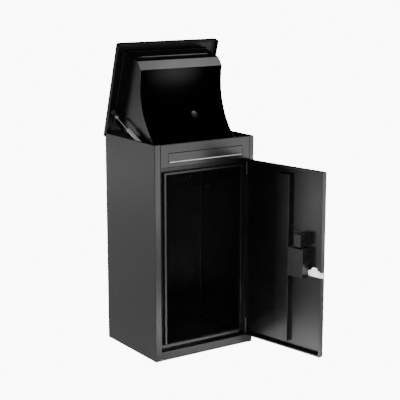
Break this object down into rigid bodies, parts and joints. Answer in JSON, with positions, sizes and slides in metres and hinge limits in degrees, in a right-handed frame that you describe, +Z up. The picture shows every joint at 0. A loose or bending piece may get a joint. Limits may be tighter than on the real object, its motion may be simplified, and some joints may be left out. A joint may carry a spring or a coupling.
{
  "type": "mailbox",
  "caption": "Free-standing steel parcel and letter box with an open lid and scoop-shaped drop chute on gas struts, a letter slot with flap, and an open front door with lock.",
  "frame": {"origin": "centre of the cabinet's footprint, on the ground under the base pan", "axes": "+X to the right seen from the front, +Y from the door towards the back, +Z up; the front faces -Y"},
  "size_m": [0.4924, 0.7436, 1.1635],
  "materials": {
    "cabinet_powder_coat": "satin",
    "lid_powder_coat": "satin",
    "scoop_black": "matte",
    "door_powder_coat": "satin",
    "lock_paint": "satin",
    "black_steel": "satin",
    "zinc_steel": "satin",
    "chrome_steel": "polished",
    "strut_tube": "gloss",
    "strut_fitting": "matte",
    "seal_rubber": "matte",
    "lock_nickel": "satin"
  },
  "bodies": {
    "cabinet": {"side_panel_left": "cabinet_powder_coat", "side_panel_right": "cabinet_powder_coat", "back_panel": "cabinet_powder_coat", "back_stiffener": "cabinet_powder_coat", "base_pan": "cabinet_powder_coat", "sill": "cabinet_powder_coat", "threshold": "cabinet_powder_coat", "door_frame": "cabinet_powder_coat", "fascia": "cabinet_powder_coat", "top_rim": "cabinet_powder_coat", "strike_plate": "black_steel", "door_pivot_top": "black_steel", "door_pivot_bottom": "black_steel", "pivot_washer": "black_steel", "door_buffers": "seal_rubber", "flap_pin": "zinc_steel", "flap_brackets": "black_steel", "hinge_leaf_fixed": "black_steel", "lid_hinge_pin": "zinc_steel", "hinge_screws": "black_steel", "strut_wall_brackets": "black_steel"},
    "lid": {"hinge_leaf_moving": "black_steel", "lid_pan": "lid_powder_coat", "lid_liner": "lid_powder_coat", "lid_seal": "seal_rubber", "chute_brow": "lid_powder_coat", "chute_scoop": "scoop_black", "chute_cheek_left": "lid_powder_coat", "chute_cheek_right": "lid_powder_coat", "strut_lid_brackets": "black_steel"},
    "door": {"door_pan": "door_powder_coat", "door_stiffener": "door_powder_coat", "door_pivot_tubes": "black_steel", "lock_plate": "lock_paint", "lock_case": "lock_paint", "lock_case_cap": "lock_paint", "lock_screws": "zinc_steel", "key_cylinder": "lock_nickel"},
    "plug": {"key_plug": "lock_nickel", "lock_crank": "zinc_steel"},
    "bolt": {"lock_bolt": "chrome_steel"},
    "flap": {"letter_flap": "door_powder_coat"},
    "strut_rod_left": {"strut_rod_end_left": "strut_fitting", "strut_rod_left": "chrome_steel"},
    "strut_tube_left": {"strut_tube_left": "strut_tube", "strut_foot_left": "strut_fitting"},
    "strut_rod_right": {"strut_rod_end_right": "strut_fitting", "strut_rod_right": "chrome_steel"},
    "strut_tube_right": {"strut_tube_right": "strut_tube", "strut_foot_right": "strut_fitting"}
  },
  "joints": [
    {"name": "lid_hinge", "type": "hinge", "parent": "cabinet", "child": "lid", "pos_m": [0, 0.1824, 0.813], "axis": [-1, 0, 0], "range_deg": [-72.7, 0]},
    {"name": "door_hinge", "type": "hinge", "parent": "cabinet", "child": "door", "pos_m": [0.191, -0.175, 0.38], "axis": [0, 0, 1], "range_deg": [-101, 9]},
    {"name": "plug_turn", "type": "hinge", "parent": "door", "child": "plug", "pos_m": [0.25115, -0.45823, 0.466], "axis": [-0.9816, -0.1908, 0], "range_deg": [0, 90.1]},
    {"name": "bolt_slide", "type": "slide", "parent": "door", "child": "bolt", "axis": [0.1908, -0.9816, 0], "range_m": [0, 0.01556]},
    {"name": "flap_hinge", "type": "hinge", "parent": "cabinet", "child": "flap", "pos_m": [0, -0.1762, 0.7765], "axis": [-1, 0, 0], "range_deg": [0, 75]},
    {"name": "strut_pivot_left", "type": "hinge", "parent": "lid", "child": "strut_rod_left", "pos_m": [-0.2, 0.15044, 0.89543], "axis": [-1, 0, 0], "range_deg": [0, 88]},
    {"name": "strut_stroke_left", "type": "slide", "parent": "strut_rod_left", "child": "strut_tube_left", "axis": [0, 0.9097, 0.4152], "range_m": [0, 0.08029]},
    {"name": "strut_pivot_right", "type": "hinge", "parent": "lid", "child": "strut_rod_right", "pos_m": [0.2, 0.15044, 0.89543], "axis": [-1, 0, 0], "range_deg": [0, 88]},
    {"name": "strut_stroke_right", "type": "slide", "parent": "strut_rod_right", "child": "strut_tube_right", "axis": [0, 0.9097, 0.4152], "range_m": [0, 0.08029]}
  ],
  "couplings": [
    {"joint": "plug_turn", "follows": "bolt_slide", "rad_per_m": 100.97},
    {"joint": "strut_pivot_left", "follows": "lid_hinge", "ratio": -1.2098},
    {"joint": "strut_stroke_left", "follows": "lid_hinge", "m_per_rad": -0.063235},
    {"joint": "strut_pivot_right", "follows": "lid_hinge", "ratio": -1.2098},
    {"joint": "strut_stroke_right", "follows": "lid_hinge", "m_per_rad": -0.063235}
  ]
}
